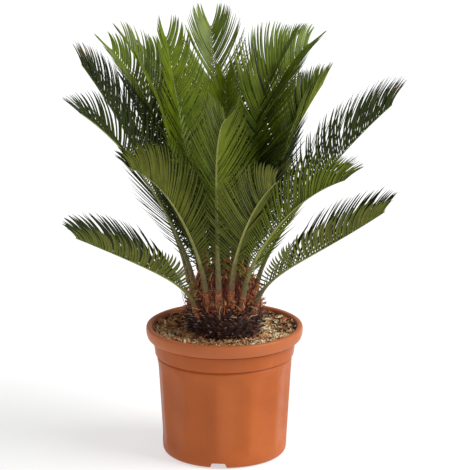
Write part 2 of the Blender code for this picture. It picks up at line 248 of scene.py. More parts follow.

# A frond's numbers, in degrees and metres: azimuth, foot, lean, droop, length and what is unusual.
# azimuth: 0 is right (+X), 90 the far side, 180 left and 270 towards the viewer. foot: height on the
# trunk. lean: rise of the straight stretch above level. droop: how far the tip bends down from it.
# sweep: how far the tip turns to higher azimuths. roll: turn of the blade about its rib, which lifts
# the leaflets on the side of higher azimuths. keels: rise of the leaflets out of the blade at its
# foot and beyond. leaflet: length of the longest one. tone: the colour family of its leaflets; deep
# is a darker copy, painted shade for fronds that sit in the crown's shade. dark: the part of its
# length, from the foot, in deep green, painted shade of the crown's inside. shade: the same painted
# shade on the side of higher azimuths, where that differs. spacing: how widely its leaflets are
# set, against the usual pitch.
USUAL_FROND = {"sweep": 0, "roll": 0, "keels": (12, 47), "leaflet": 0.092, "tone": "fresh",
               "dark": 0, "spacing": 1}
FROND_ROWS = {
    "low_left": (225, 0.040, 28, 1, 0.280, dict(sweep=-4, roll=-16, keels=(30, 50), leaflet=0.084,
                                                tone="olive")),
    "low_right": (322, 0.046, 30, -6, 0.298, dict(roll=16, keels=(30, 50), leaflet=0.086,
                                                  tone="olive")),
    "low_back_right": (68, 0.044, 40, 12, 0.285, dict(keels=(30, 50), leaflet=0.086, tone="olive")),
    "low_back_left": (112, 0.042, 40, 12, 0.285, dict(keels=(30, 50), leaflet=0.086, tone="olive")),
    "front_left": (241, 0.064, 60, 38, 0.315, dict(sweep=-6, roll=10, keels=(40, 65), leaflet=0.086,
                                                   tone="olive")),
    "front": (262, 0.060, 74, 59, 0.410, dict(sweep=18, roll=-4, keels=(30, 54), dark=0.2)),
    "front_right": (281, 0.067, 49, 19, 0.306, dict(sweep=12, roll=-4, keels=(30, 48), leaflet=0.088,
                                                    tone="olive")),
    "right_front": (298, 0.056, 50, 28, 0.338, dict(sweep=16, roll=-16, keels=(30, 62))),
    "right": (334, 0.070, 55, 12, 0.372, dict(roll=6, keels=(30, 50), leaflet=0.108, tone="deep")),
    "left": (213, 0.070, 64, 28, 0.350, dict(sweep=-2, roll=26, tone="deep")),
    "left_back": (169, 0.068, 66, 13, 0.372, dict(tone="deep", spacing=0.9)),
    "back_mid_right": (58, 0.062, 56, 18, 0.335, dict(tone="deep", dark=1, spacing=0.8)),
    "back_mid": (90, 0.062, 56, 18, 0.345, dict(tone="deep", dark=1)),
    "back_mid_left": (128, 0.062, 58, 18, 0.335, dict(tone="deep", dark=1)),
    "back_right": (50, 0.075, 59, 20, 0.332, dict(sweep=-1, roll=-15)),
    "upper_left": (134, 0.077, 68, 34, 0.388, dict(sweep=4, keels=(12, 24), dark=0.55, spacing=1.2)),
    "upper_left_inner": (157, 0.086, 80, 29, 0.368, dict(keels=(12, 24), dark=0.1, spacing=1.35)),
    "upper_back_left": (141, 0.092, 74, -2, 0.352, dict(sweep=-8, keels=(12, 30), dark=0.35)),
    "upper_back": (112, 0.0895, 69, 34, 0.360, dict(sweep=23, keels=(12, 24), dark=0.35)),
    "top": (98, 0.081, 76, 34, 0.392, dict(sweep=-4, keels=(12, 32), leaflet=0.108, dark=0.4)),
    "upper_back_right": (67, 0.090, 79, 54, 0.366, dict(sweep=-10, keels=(12, 44), leaflet=0.112,
                                                        dark=0.45, spacing=0.82)),
    "upper_right": (54, 0.087, 82, 57, 0.378, dict(sweep=-8, roll=18, keels=(12, 38), dark=0.32,
                                                   shade=0.5, spacing=0.78)),
    "heart": (84, 0.0915, 92, -6, 0.290, dict(leaflet=0.082, dark=0.3)),
}
COLUMNS = ("azimuth", "foot", "lean", "droop", "length")
FRONDS = {"frond_" + name: {**USUAL_FROND, **dict(zip(COLUMNS, numbers)), **numbers[-1]}
          for name, numbers in FROND_ROWS.items()}

# Fronds with a few dried leaflets: name to the stretch of the frond and the share of its leaflets
DRIED = {
    "frond_left_back": (0.90, 1.0, 0.7),
    "frond_right": (0.95, 1.0, 0.3),
    "frond_front_right": (0.94, 1.0, 0.3),
    "frond_low_left": (0.24, 0.30, 0.5),
    "frond_low_right": (0.16, 0.24, 0.5),
}

# Camera, as the photograph was taken
CAMERA_PLACE = Vector((0.0161, -3.1618, 1.1590))
CAMERA_TILT = 14.5
CAMERA_LENS = 165.2
CAMERA_SENSOR = 36.0

# Light
TO_SUN = Vector((0.74, -0.20, 0.64))
SUN_STRENGTH = 2.9
SUN_WIDTH = 40.0
WORLD_STRENGTH = 0.48
FLOOR_TONE = 0.50
FLOOR_GLOW = 0.56
FLOOR_REACH = 14.0
WHITE = (1.0, 1.0, 1.0, 1.0)
FLOOR_DROP = 0.0005


def linear(red, green, blue):
    """Scene-linear colour of an 8-bit display colour."""
    colour = []
    for value in (red, green, blue):
        share = value / 255.0
        colour.append(share / 12.92 if share <= 0.04045 else ((share + 0.055) / 1.055) ** 2.4)
    return (*colour, 1.0)


class Shader:
    """A material with one Principled shader and helpers for procedural detail in object space."""

    def __init__(self, name, roughness, **settings):
        self.material = bpy.data.materials.new(name)
        self.material.use_nodes = True
        self.tree = self.material.node_tree
        self.shader = self.tree.nodes["Principled BSDF"]
        self.shader.inputs["Roughness"].default_value = roughness
        for socket, value in settings.items():
            self.shader.inputs[socket.replace("_", " ")].default_value = value
        self.place = self.tree.nodes.new("ShaderNodeTexCoord").outputs["Object"]

    def link(self, source, target):
        self.tree.links.new(source, target)

    def stretched(self, scale):
        """Object coordinates scaled differently along the three axes."""
        mapping = self.tree.nodes.new("ShaderNodeMapping")
        mapping.inputs["Scale"].default_value = scale
        self.link(self.place, mapping.inputs["Vector"])
        return mapping.outputs["Vector"]

    def noise(self, scale, detail=3.0, roughness=0.55, place=None):
        node = self.tree.nodes.new("ShaderNodeTexNoise")
        node.inputs["Scale"].default_value = scale
        node.inputs["Detail"].default_value = detail
        node.inputs["Roughness"].default_value = roughness
        self.link(place or self.place, node.inputs["Vector"])
        return node.outputs["Fac"]

    def ramp(self, source, stops):
        """Colours dealt out over a value."""
        node = self.tree.nodes.new("ShaderNodeValToRGB")
        elements = node.color_ramp.elements
        while len(elements) < len(stops):
            elements.new(0.5)
        for element, (position, colour) in zip(elements, stops):
            element.position = position
            element.color = colour
        self.link(source, node.inputs["Fac"])
        return node.outputs["Color"]

    def mix(self, share, first, second):
        """Two colours, each fixed or from an output, mixed by a value."""
        node = self.tree.nodes.new("ShaderNodeMix")
        node.data_type = "RGBA"
        self.link(share, node.inputs["Factor"])
        for socket, value in (("A", first), ("B", second)):
            target = [i for i in node.inputs if i.name == socket and i.type == "RGBA"][0]
            if isinstance(value, tuple):
                target.default_value = value
            else:
                self.link(value, target)
        return [o for o in node.outputs if o.type == "RGBA"][0]

    def range(self, source, low, high, start=0.3, end=0.7):
        """A value from start to end stretched to run from low to high."""
        node = self.tree.nodes.new("ShaderNodeMapRange")
        limits = {"From Min": start, "From Max": end, "To Min": low, "To Max": high}
        for socket, value in limits.items():
            node.inputs[socket].default_value = value
        self.link(source, node.inputs["Value"])
        return node.outputs["Result"]

    def colour(self, source):
        self.link(source, self.shader.inputs["Base Color"])

    def bump(self, height, strength, distance):
        node = self.tree.nodes.new("ShaderNodeBump")
        node.inputs["Strength"].default_value = strength
        node.inputs["Distance"].default_value = distance
        self.link(height, node.inputs["Height"])
        self.link(node.outputs["Normal"], self.shader.inputs["Normal"])


def mottled(name, dark, light, scale, roughness, bump=0.0, **settings):
    """Two 8-bit tones that run into each other in soft patches, with a fine bump."""
    made = Shader(name, roughness, **settings)
    patches = made.noise(scale, detail=4.0)
    made.colour(made.ramp(patches, [(0.32, linear(*dark)), (0.68, linear(*light))]))
    if bump:
        made.bump(made.noise(scale * 4.0, detail=2.0), 0.6, bump)
    return made.material


def wool(name, dark, light, scale, roughness):
    """Woolly fibre with a faint sheen."""
    return mottled(name, dark, light, scale, roughness, 0.0006, Sheen_Weight=0.2)


def pot_material(name, dark, light):
    """Satin terracotta-coloured plastic, a little blotchy, duller and dusty in faint patches."""
    made = Shader(name, 0.44, Specular_IOR_Level=0.2)
    tones = [(0.34, linear(*dark)), (0.66, linear(*light))]
    body = made.ramp(made.noise(14.0, detail=3.0), tones)
    streaks = made.noise(9.0, detail=4.0, place=made.stretched((4.0, 4.0, 0.6)))
    streaked = made.mix(made.range(streaks, 0.0, 0.16, 0.5, 0.75), body, linear(182, 112, 74))
    specks = made.range(made.noise(420.0, detail=1.0), 0.0, 0.12, 0.68, 0.78)
    made.colour(made.mix(specks, streaked, linear(206, 150, 116)))
    made.link(made.range(made.noise(60.0, detail=3.0), 0.36, 0.52), made.shader.inputs["Roughness"])
    made.bump(made.noise(900.0, detail=2.0), 0.25, 0.0002)
    return made.material


class Builder:
    """Collects many small closed shapes that end up as one piece."""

    def __init__(self):
        self.verts = []
        self.faces = []
        self.kinds = []
        self.count = 0

    def add(self, points, faces, kinds):
        self.verts.append(np.asarray(points, float).reshape(-1, 3))
        for face in faces:
            self.faces.append([self.count + corner for corner in face])
        self.kinds.extend(kinds)
        self.count += len(self.verts[-1])

    def loft(self, rings, kinds):
        """Closed tube through rings of equal length; kinds has one entry a side or one list a ring."""
        sides = len(rings[0])
        faces = []
        dealt = []
        for ring in range(len(rings) - 1):
            row = kinds[ring] if isinstance(kinds[0], (list, tuple)) else kinds
            for side in range(sides):
                after = (side + 1) % sides
                low, high = ring * sides, (ring + 1) * sides
                faces.append((low + side, low + after, high + after, high + side))
                dealt.append(row[side])
        faces.append(tuple(range(sides))[::-1])
        faces.append(tuple(range((len(rings) - 1) * sides, len(rings) * sides)))
        self.add([corner for ring in rings for corner in ring], faces, dealt + [dealt[0], dealt[-1]])

    def piece(self, name, materials, nodes=(), sharp=60.0):
        mesh = bpy.data.meshes.new(name)
        mesh.from_pydata(np.concatenate(self.verts).tolist(), [], self.faces)
        for mat in materials:
            mesh.materials.append(mat)
        mesh.polygons.foreach_set("material_index", self.kinds)
        mesh.shade_smooth()
        mesh.set_sharp_from_angle(angle=math.radians(sharp))
        mesh.update()
        return place_piece(name, mesh, nodes)


def put(name, data):
    obj = bpy.data.objects.new(name, data)
    bpy.context.scene.collection.objects.link(obj)
    return obj


def place_piece(name, mesh, nodes=()):
    """A piece of the plant: it rides the only body, and the solids it stands for are hidden."""
    obj = put(name, mesh)
    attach(obj, "root")
    if nodes:
        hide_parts(*nodes)
    return obj


def around(direction):
    """Two unit vectors across a direction."""
    other = UP if abs(direction.z) < 0.9 else Vector((1.0, 0.0, 0.0))
    side = direction.cross(other).normalized()
    return side, side.cross(direction).normalized()


def ring_points(centre, side, lift, half_width, half_height, count):
    points = []
    for index in range(count):
        angle = math.tau * index / count
        across = side * (half_width * math.cos(angle))
        points.append(centre + across + lift * (half_height * math.sin(angle)))
    return points


def shaken(point, spread, rng):
    return point + Vector((rng.gauss(0, 1), rng.gauss(0, 1), rng.gauss(0, 1))) * spread


def fillet(corner, before, after, radius, steps):
    """Points that round one corner of an outline with a curve that stays inside it."""
    corner, before, after = Vector(corner), Vector(before), Vector(after)
    back = min(radius, (before - corner).length * 0.45)
    ahead = min(radius, (after - corner).length * 0.45)
    start = corner + (before - corner).normalized() * back
    end = corner + (after - corner).normalized() * ahead
    points = []
    for step in range(steps + 1):
        share = step / steps
        middle = corner * 2 * share * (1 - share)
        points.append(tuple(start * (1 - share) ** 2 + middle + end * share ** 2))
    return points


def pot_outline():
    """The pot's outline of (radius, height), its corners rounded, from underside to inner floor."""
    collar = BODY_TOP_RADIUS + COLLAR_STEP
    corners = [
        (POT_BASE_RADIUS, 0.0, 0.0080),
        (BODY_TOP_RADIUS, BODY_TOP - 0.0026, 0.0008),
        (BODY_TOP_RADIUS - UNDERCUT, BODY_TOP + 0.0006, 0.0006),
        (collar - 0.0003, BODY_TOP + 0.0022, 0.0012),
        (collar + 0.0026, COLLAR_TOP + 0.0020, 0.0008),
        (collar + 0.0014, COLLAR_TOP + 0.0046, 0.0008),
        (LIP_RADIUS - 0.0030, COLLAR_TOP + 0.0060, 0.0022),
        (LIP_RADIUS, COLLAR_TOP + 0.0145, 0.0060),
        (LIP_RADIUS - 0.0002, POT_HEIGHT, 0.0055),
        (OPENING_RADIUS, POT_HEIGHT, 0.0030),
        (OPENING_RADIUS - 0.0055, COLLAR_TOP + 0.0080, 0.0020),
        (collar - POT_WALL, BODY_TOP + 0.0040, 0.0020),
        (BODY_TOP_RADIUS - UNDERCUT - POT_WALL, BODY_TOP - 0.0020, 0.0020),
        (POT_BASE_RADIUS - POT_WALL, POT_FLOOR, 0.0040),
    ]
    places = [(0.0, 0.0)] + [corner[:2] for corner in corners] + [(0.0, POT_FLOOR)]
    outline = [places[0]]
    for index, (radius, height, rounding) in enumerate(corners):
        outline += fillet((radius, height), places[index], places[index + 2], rounding, FILLET_STEPS)
    outline.append(places[-1])
    return outline


def densify(outline, longest):
    """The same outline with long straight runs cut into shorter ones."""
    points = [outline[0]]
    for start, end in zip(outline, outline[1:]):
        run = math.dist(start, end)
        pieces = max(1, math.ceil(run / longest))
        for step in range(1, pieces + 1):
            share = step / pieces
            points.append(tuple(low + (high - low) * share for low, high in zip(start, end)))
    return points


def flute_depth(azimuth, height):
    """How far the body is drawn in between two ridges, fading out at both ends with a round top."""
    turn = (azimuth - math.radians(FLUTE_FIRST)) * FLUTE_COUNT / 2.0
    hollow = abs(math.sin(turn)) ** FLUTE_POWER
    dome = FLUTE_FADE * (1.0 - abs(math.sin(turn)))
    from_top = (FLUTE_HIGH - dome - height) / FLUTE_FADE
    from_foot = (height - FLUTE_LOW) / FLUTE_FADE
    fade = max(0.0, min(1.0, from_top, from_foot))
    return FLUTE_DEPTH * hollow * fade * fade * (3.0 - 2.0 * fade)


def channel_cutter(azimuth):
    """A bar with the drain channel's section, laid across the foot."""
    outline = [
        (-CHANNEL_WIDTH / 2.0, -CHANNEL_OVERCUT),
        (CHANNEL_WIDTH / 2.0, -CHANNEL_OVERCUT),
        (CHANNEL_TOP_WIDTH / 2.0, CHANNEL_HEIGHT),
        (-CHANNEL_TOP_WIDTH / 2.0, CHANNEL_HEIGHT),
    ]
    rounded = [outline[0], outline[1]]
    rounded += fillet(outline[2], outline[1], outline[3], CHANNEL_ROUND, CHANNEL_ROUND_STEPS)
    rounded += fillet(outline[3], outline[2], outline[0], CHANNEL_ROUND, CHANNEL_ROUND_STEPS)
    builder = Builder()
    rings = []
    for distance in (POT_BASE_RADIUS - CHANNEL_REACH, POT_BASE_RADIUS + CHANNEL_REACH):
        rings.append([Vector((distance, across, height)) for across, height in rounded])
    turn = Matrix.Rotation(azimuth, 3, "Z")
    builder.loft([[turn @ corner for corner in ring] for ring in rings], [0] * len(rounded))
    mesh = bpy.data.meshes.new("channel")
    mesh.from_pydata(np.concatenate(builder.verts).tolist(), [], builder.faces)
    fix = bmesh.new()
    fix.from_mesh(mesh)
    bmesh.ops.recalc_face_normals(fix, faces=fix.faces)
    fix.to_mesh(mesh)
    fix.free()
    return mesh


def turn_pot():
    """The pot's mesh, turned from its outline, with flutes in its body."""
    outline = densify(pot_outline(), OUTLINE_STEP)
    body = bmesh.new()
    rings = []
    for index, (radius, height) in enumerate(outline):
        if radius == 0.0:
            rings.append([body.verts.new((0.0, 0.0, height))])
            continue
        ring = []
        outside = index < len(outline) / 2
        for step in range(POT_SEGMENTS):
            azimuth = math.tau * step / POT_SEGMENTS
            reach = radius
            if outside and height < FLUTE_HIGH and radius > POT_BASE_RADIUS - FLUTE_EDGE:
                reach -= flute_depth(azimuth, height)
            place = (reach * math.cos(azimuth), reach * math.sin(azimuth), height)
            ring.append(body.verts.new(place))
        rings.append(ring)
    for low, high in zip(rings, rings[1:]):
        for step in range(POT_SEGMENTS):
            after = (step + 1) % POT_SEGMENTS
            sides = ((low, step), (low, after), (high, after), (high, step))
            corners = [ring[place % len(ring)] for ring, place in sides]
            face = body.faces.new(list(dict.fromkeys(corners)))
            # Faces above the collar take the lip's paler tone, painted light
            face.material_index = int(min(corner.co.z for corner in corners) > LIT_LIP_LOW)
    bmesh.ops.recalc_face_normals(body, faces=body.faces)
    mesh = bpy.data.meshes.new("pot_shell")
    body.to_mesh(mesh)
    body.free()
    return mesh


def make_pot():
    """The pot, with its drain channels cut out."""
    mesh = turn_pot()
    mesh.materials.append(pot_material("terracotta_body", (168, 85, 36), (178, 92, 40)))
    # The lip's paler tone is painted light, for the light its rim catches
    mesh.materials.append(pot_material("terracotta_lip_painted_light", (176, 97, 54), (186, 105, 60)))
    shell = put("pot_shell", mesh)
    cutters = []
    for index in range(CHANNEL_COUNT):
        azimuth = math.radians(CHANNEL_FIRST + 360.0 * index / CHANNEL_COUNT)
        cutter = put("channel", channel_cutter(azimuth))
        cutters.append(cutter)
        cut = shell.modifiers.new("channel", "BOOLEAN")
        cut.operation = "DIFFERENCE"
        cut.object = cutter
    bpy.context.view_layer.update()
    depsgraph = bpy.context.evaluated_depsgraph_get()
    finished = bpy.data.meshes.new_from_object(shell.evaluated_get(depsgraph))
    for obj in [shell] + cutters:
        bpy.data.objects.remove(obj, do_unlink=True)
    finished.name = "pot_shell"
    finished.shade_smooth()
    finished.set_sharp_from_angle(angle=math.radians(POT_SHARP))
    place_piece("pot_shell", finished, ["pot"])


def soil_height(x, y):
    """Level of the potting mix: lumpy, a little higher against the trunk and against the rim."""
    lumps = noise.noise(Vector((x * LUMP_RATE, y * LUMP_RATE, 3.0))) * SOIL_LUMPS
    fine = noise.noise(Vector((x * FINE_LUMP_RATE, y * FINE_LUMP_RATE, 7.0))) * SOIL_LUMPS * 0.5
    radius = math.hypot(x, y)
    heap = HEAP_HEIGHT * max(0.0, min(1.0, (HEAP_RADIUS - radius) / HEAP_REACH))
    bank = BANK_HEIGHT * max(0.0, min(1.0, (radius - BANK_RADIUS) / BANK_REACH))
    return SOIL_LEVEL - SOIL_SINK + heap + bank + lumps + fine


def shard(builder, centre, size, turn, kind, rng):
    """A splinter of bark: a box with its corners pulled about."""
    corners = []
    for x in (-0.5, 0.5):
        for y in (-0.5, 0.5):
            for z in (-0.5, 0.5):
                pulled = [axis * rng.uniform(0.55, 1.0) for axis in (x, y, z)]
                point = Vector((pulled[0] * size[0], pulled[1] * size[1], pulled[2] * size[2]))
                corners.append(centre + turn @ point)
    faces = [(0, 1, 3, 2), (4, 6, 7, 5), (0, 4, 5, 1), (2, 3, 7, 6), (0, 2, 6, 4), (1, 5, 7, 3)]
    builder.add(corners, faces, [kind] * len(faces))


def random_turn(rng, tilt):
    """Any heading, with a lean of about the given tilt."""
    spin = Matrix.Rotation(rng.uniform(0.0, math.tau), 3, "Z")
    lean = Matrix.Rotation(rng.gauss(0.0, tilt), 3, "X") @ Matrix.Rotation(rng.gauss(0.0, tilt), 3, "Y")
    return spin @ lean


# Chip tones: black, brown, tan, cream and red, by weight, darker over the mix's dark parts
CHIP_SHARES = [0.26, 0.28, 0.31, 0.10, 0.05]
DARK_CHIP_SHARES = [0.15, 0.32, 0.33, 0.07, 0.13]
PALE_CHIP_SHARES = [0.05, 0.06, 0.25, 0.62, 0.02]
# Azimuth, radius and reach of the patches with pale chips
PALE_PATCHES = [(10.0, 0.070, 0.018), (35.0, 0.078, 0.020), (-25.0, 0.085, 0.020),
                (-50.0, 0.085, 0.016), (-75.0, 0.086, 0.010), (196.0, 0.090, 0.012)]


def chip_materials():
    """The chips' materials, in the order of their tones."""
    return [
        mottled("chip_black", (42, 28, 18), (84, 56, 36), 260.0, 0.9, 0.0004),
        mottled("chip_brown", (144, 94, 56), (200, 142, 92), 260.0, 0.85, 0.0004),
        mottled("chip_tan", (176, 134, 88), (216, 178, 128), 260.0, 0.8, 0.0003),
        mottled("chip_cream", (206, 186, 142), (242, 228, 192), 260.0, 0.8, 0.0003),
        mottled("chip_red", (146, 76, 46), (196, 112, 72), 260.0, 0.85, 0.0004),
    ]


def tone_at(x, y, rng):
    """Which chip tone falls here: pale in a few patches, mostly dark left of the trunk."""
    shares = DARK_CHIP_SHARES if x < 0.0 else CHIP_SHARES
    for azimuth, radius, reach in PALE_PATCHES:
        angle = math.radians(azimuth)
        if math.hypot(x - radius * math.cos(angle), y - radius * math.sin(angle)) < reach:
            shares = PALE_CHIP_SHARES
    return rng.choices(range(len(shares)), weights=shares)[0]


def soil_place(rng, margin=0.0):
    """A random place on the bed, between the trunk and the rim."""
    inner = TRUNK_PROFILE[0][1] - 0.004
    outer = OPENING_RADIUS - 0.003 - margin
    radius = math.sqrt(rng.uniform(inner ** 2, outer ** 2))
    azimuth = rng.uniform(0.0, math.tau)
    return radius * math.cos(azimuth), radius * math.sin(azimuth)


def make_bed():
    """The lumpy surface of the potting mix, closed below."""
    rings = []
    for step in range(BED_RINGS + 1):
        radius = 0.001 + (OPENING_RADIUS - BED_CLEAR) * step / BED_RINGS
        ring = []
        for index in range(BED_SEGMENTS):
            azimuth = math.tau * index / BED_SEGMENTS
            x, y = radius * math.cos(azimuth), radius * math.sin(azimuth)
            ring.append(Vector((x, y, soil_height(x, y))))
        rings.append(ring)
    for shrink in (BED_TAPER, 0.1):
        low = SOIL_LEVEL - BED_DEPTH
        rings.append([Vector((point.x * shrink, point.y * shrink, low)) for point in rings[-1]])
    bed = Builder()
    bed.loft(rings[::-1], [0] * BED_SEGMENTS)
    peat = mottled("peat", (30, 20, 13), (58, 40, 26), 160.0, 0.95, 0.0012)
    bed.piece("soil_bed", [peat], ["potting_mix"])


def drop_shard(builder, x, y, length, numbers, rng):
    """One chip or crumb on the bed."""
    width = length * rng.uniform(*numbers["widths"])
    depth = length * rng.uniform(*numbers["depths"])
    centre = Vector((x, y, soil_height(x, y) + rng.uniform(0.0, numbers["rise"])))
    turn = random_turn(rng, numbers["tilt"])
    shard(builder, centre, (length, width, depth), turn, tone_at(x, y, rng), rng)


def make_soil():
    """The bed, and the chips, crumbs and fibres that lie on it."""
    make_bed()
    rng = random.Random(SOIL_SEED)
    chips = Builder()
    for _ in range(CHIPS["count"]):
        length = rng.uniform(*CHIPS["lengths"])
        length *= LONG_CHIP_STRETCH if rng.random() < LONG_CHIP_SHARE else 1.0
        x, y = soil_place(rng, length * 0.4)
        drop_shard(chips, x, y, length, CHIPS, rng)
    for _ in range(CRUMBS["count"]):
        x, y = soil_place(rng)
        length = rng.uniform(*CRUMBS["lengths"])
        drop_shard(chips, x, y, length, CRUMBS, rng)
    materials = chip_materials()
    chips.piece("soil_chips", materials, sharp=20.0)

    strands = Builder()
    for _ in range(SOIL_FIBRE_COUNT):
        x, y = soil_place(rng, 0.008)
        azimuth = rng.uniform(0.0, math.tau)
        along = Vector((math.cos(azimuth), math.sin(azimuth), rng.uniform(-0.1, 0.35))).normalized()
        start = Vector((x, y, soil_height(x, y) + 0.0012))
        length = rng.uniform(*SOIL_FIBRE_LENGTHS)
        strand(strands, start, along, length, SOIL_FIBRE_RADIUS, 0.5, rng.randrange(3), rng)
    strands.piece("soil_fibres", [materials[1], materials[2], materials[0]])


def strand(builder, start, along, length, radius, curl, kind, rng, steps=4, droop=0.0):
    """A thin tapering fibre that bends a little at random."""
    rings = []
    point = start.copy()
    direction = along.normalized()
    for step in range(steps + 1):
        share = step / steps
        side, lift = around(direction)
        half = radius * (1.0 - 0.85 * share)
        rings.append(ring_points(point, side, lift, half, half, 3))
        direction = (shaken(direction, curl / steps, rng) - UP * (droop / steps)).normalized()
        point = point + direction * (length / steps)
    builder.loft(rings, [kind] * 3)


def trunk_radius(height):
    for (low, low_radius), (high, high_radius) in zip(TRUNK_PROFILE, TRUNK_PROFILE[1:]):
        if height <= high:
            share = max(0.0, (height - low) / (high - low))
            return low_radius + (high_radius - low_radius) * share
    return 0.0


def trunk_frame(azimuth, height, clear=0.0):
    """A point on the trunk, the outward normal there and the direction up along its surface."""
    slope = (trunk_radius(height + 0.001) - trunk_radius(height - 0.001)) / 0.002
    normal_out = 1.0 / math.sqrt(1.0 + slope * slope)
    normal_up = -slope * normal_out
    outward = Vector((math.cos(azimuth), math.sin(azimuth), 0.0))
    normal = outward * normal_out + UP * normal_up
    climb = UP * normal_out - outward * normal_up
    point = outward * trunk_radius(height) + UP * (TRUNK_FOOT + height)
    return point + normal * clear, normal, climb


def trunk_materials():
    """The trunk's materials, in the order of its tones."""
    return [
        mottled("fibre_black", (44, 26, 20), (82, 52, 42), 240.0, 0.95, 0.0006),
        wool("wool_rust", (140, 66, 28), (198, 108, 52), 320.0, 0.95),
        wool("wool_maroon", (84, 32, 18), (132, 58, 32), 320.0, 0.95),
        mottled("fibre_tan", (170, 128, 84), (210, 172, 124), 300.0, 0.85),
        mottled("fibre_grey", (104, 92, 88), (150, 140, 134), 300.0, 0.85),
    ]


# Tones of the trunk
BLACK, RUST, MAROON, TAN, GREY = range(5)

# Old leaf bases, and the young scales above them: the height where they start and the stretch they
# cover, their turn along the spiral, the room left round a frond's foot, ranges of size and lift (in
# radians), the width left at the tip, and tones from foot to tip, dark for below the wool line
OLD_BASES = dict(
    count=210, start=0.002, stretch=0.062, turn=0.0, clear=0.0045, widths=(0.006, 0.010),
    lengths=(0.009, 0.016), lifts=(0.25, 0.95), tip=0.12,
    tones=[[MAROON, RUST, RUST], [MAROON, RUST], [BLACK, MAROON, RUST],
           [MAROON, RUST, RUST, RUST, RUST, TAN]],
    dark=[[BLACK, BLACK, MAROON], [BLACK], [BLACK, MAROON], [BLACK, BLACK, GREY]],
)
YOUNG_SCALES = dict(
    count=150, start=0.050, stretch=0.043, turn=0.4, clear=0.0042, widths=(0.0055, 0.0085),
    lengths=(0.018, 0.033), lifts=(0.0, 0.28), tip=0.04,
    tones=[[BLACK, MAROON, RUST], [MAROON, MAROON, RUST], [MAROON], [RUST, MAROON, TAN]],
    dark=None,
)

# Fibres in the wool and below it, and strips of bark: ranges of climb, outward lean and length,
# sideways sway, and tones with their weights
WOOL_FIBRES = dict(climbs=(0.5, 1.0), leans=(0.05, 0.5), sway=0.35, lengths=(0.004, 0.011),
                   tones=[RUST, MAROON, TAN], weights=[0.50, 0.32, 0.18])
DARK_FIBRES = dict(climbs=(-0.5, 0.9), leans=(0.1, 0.5), sway=0.6, lengths=(0.004, 0.009),
                   tones=[BLACK, MAROON, GREY, TAN], weights=[0.66, 0.20, 0.11, 0.03])
STRIPS = dict(climbs=(-0.3, 1.0), leans=(-0.1, 0.35), sway=0.7, lengths=(0.009, 0.020),
              tones=[TAN, RUST, MAROON], weights=[0.5, 0.35, 0.15])


def near_frond_foot(azimuth, height, reach):
    """Whether a frond stands within reach of this place on the trunk."""
    for numbers in FRONDS.values():
        turn = math.remainder(azimuth - math.radians(numbers["azimuth"]), math.tau)
        if math.hypot(turn * trunk_radius(height), height - numbers["foot"]) < reach:
            return True
    return False


def scale_leaf(builder, azimuth, height, width, length, lift, tip, kinds, rng):
    """One scale or old leaf base: a thick flap that stands off the trunk and narrows to its tip."""
    point, normal, climb = trunk_frame(azimuth, height, -SCALE_SINK)
    side = climb.cross(normal).normalized()
    bend = rng.gauss(0.0, 0.15)
    rings = []
    for step in range(SCALE_STEPS + 1):
        share = step / SCALE_STEPS
        rise = climb * math.cos(lift * share) + normal * math.sin(lift * share)
        aside = side * (bend * length * share ** 2)
        centre = point + rise * (length * share) + aside + normal * (SCALE_SINK * share)
        half_width = width / 2.0 * (1.0 - (1.0 - tip) * share ** 1.6)
        half_depth = SCALE_DEPTH * (1.0 - 0.8 * share)
        outward = normal * math.cos(lift * share) - climb * math.sin(lift * share)
        ring = ring_points(centre, side, outward, half_width, half_depth, SCALE_SIDES)
        rings.append([shaken(corner, SCALE_ROUGH, rng) for corner in ring])
    rows = []
    for step in range(SCALE_STEPS):
        rows.append([kinds[step * len(kinds) // SCALE_STEPS]] * SCALE_SIDES)
    builder.loft(rings, rows)


def is_woolly(azimuth, height, rng):
    """Whether this place lies above the ragged line where the rust wool starts."""
    wave = noise.noise(Vector((math.cos(azimuth) * 2.5, math.sin(azimuth) * 2.5, 1.0)))
    return height > WOOL_LINE + WOOL_BLEND * (wave + rng.gauss(0.0, 0.5))


def make_core(materials, rng):
    """The trunk's rough body, which shows between the scales."""
    heights = [TRUNK_HEIGHT * CORE_REACH * step / CORE_ROWS for step in range(CORE_ROWS + 1)]
    azimuths = [math.tau * index / CORE_SEGMENTS for index in range(CORE_SEGMENTS)]
    rings = []
    for height in heights:
        ring = []
        for azimuth in azimuths:
            point, normal, _ = trunk_frame(azimuth, min(height, TRUNK_PROFILE[-1][0]))
            rough = noise.noise(point * CORE_ROUGH_RATE) * CORE_ROUGH
            rough += noise.noise(point * CORE_FINE_RATE) * CORE_FINE
            ring.append(point + normal * (rough - CORE_SINK * min(1.0, height / 0.01)))
        rings.append(ring)
    kinds = []
    for height in heights[:-1]:
        kinds.append([MAROON if is_woolly(azimuth, height, rng) else BLACK for azimuth in azimuths])
    core = Builder()
    core.loft(rings, kinds)
    core.piece("trunk_core", materials, ["trunk"])


def grow_scales(builder, numbers, rng):
    """A spiral of scales up the trunk, left out where a frond stands."""
    for index in range(numbers["count"]):
        share = (index + 0.5) / numbers["count"]
        height = numbers["start"] + numbers["stretch"] * share
        azimuth = GOLDEN_ANGLE * (index + numbers["turn"])
        if near_frond_foot(azimuth, height, numbers["clear"]):
            continue
        tones = numbers["tones"]
        if numbers["dark"] and not is_woolly(azimuth, height + SCALE_WOOL_RISE, rng):
            tones = numbers["dark"]
        kinds = rng.choice(tones)
        width = rng.uniform(*numbers["widths"])
        length = rng.uniform(*numbers["lengths"])
        lift = rng.uniform(*numbers["lifts"])
        scale_leaf(builder, azimuth, height, width, length, lift, numbers["tip"], kinds, rng)


def fibre_way(normal, climb, numbers, rng):
    """Direction of a fibre: some climb, some outward lean and a sideways sway."""
    upward = climb * rng.uniform(*numbers["climbs"])
    outward = normal * rng.uniform(*numbers["leans"])
    return upward + outward + climb.cross(normal) * rng.gauss(0.0, numbers["sway"])


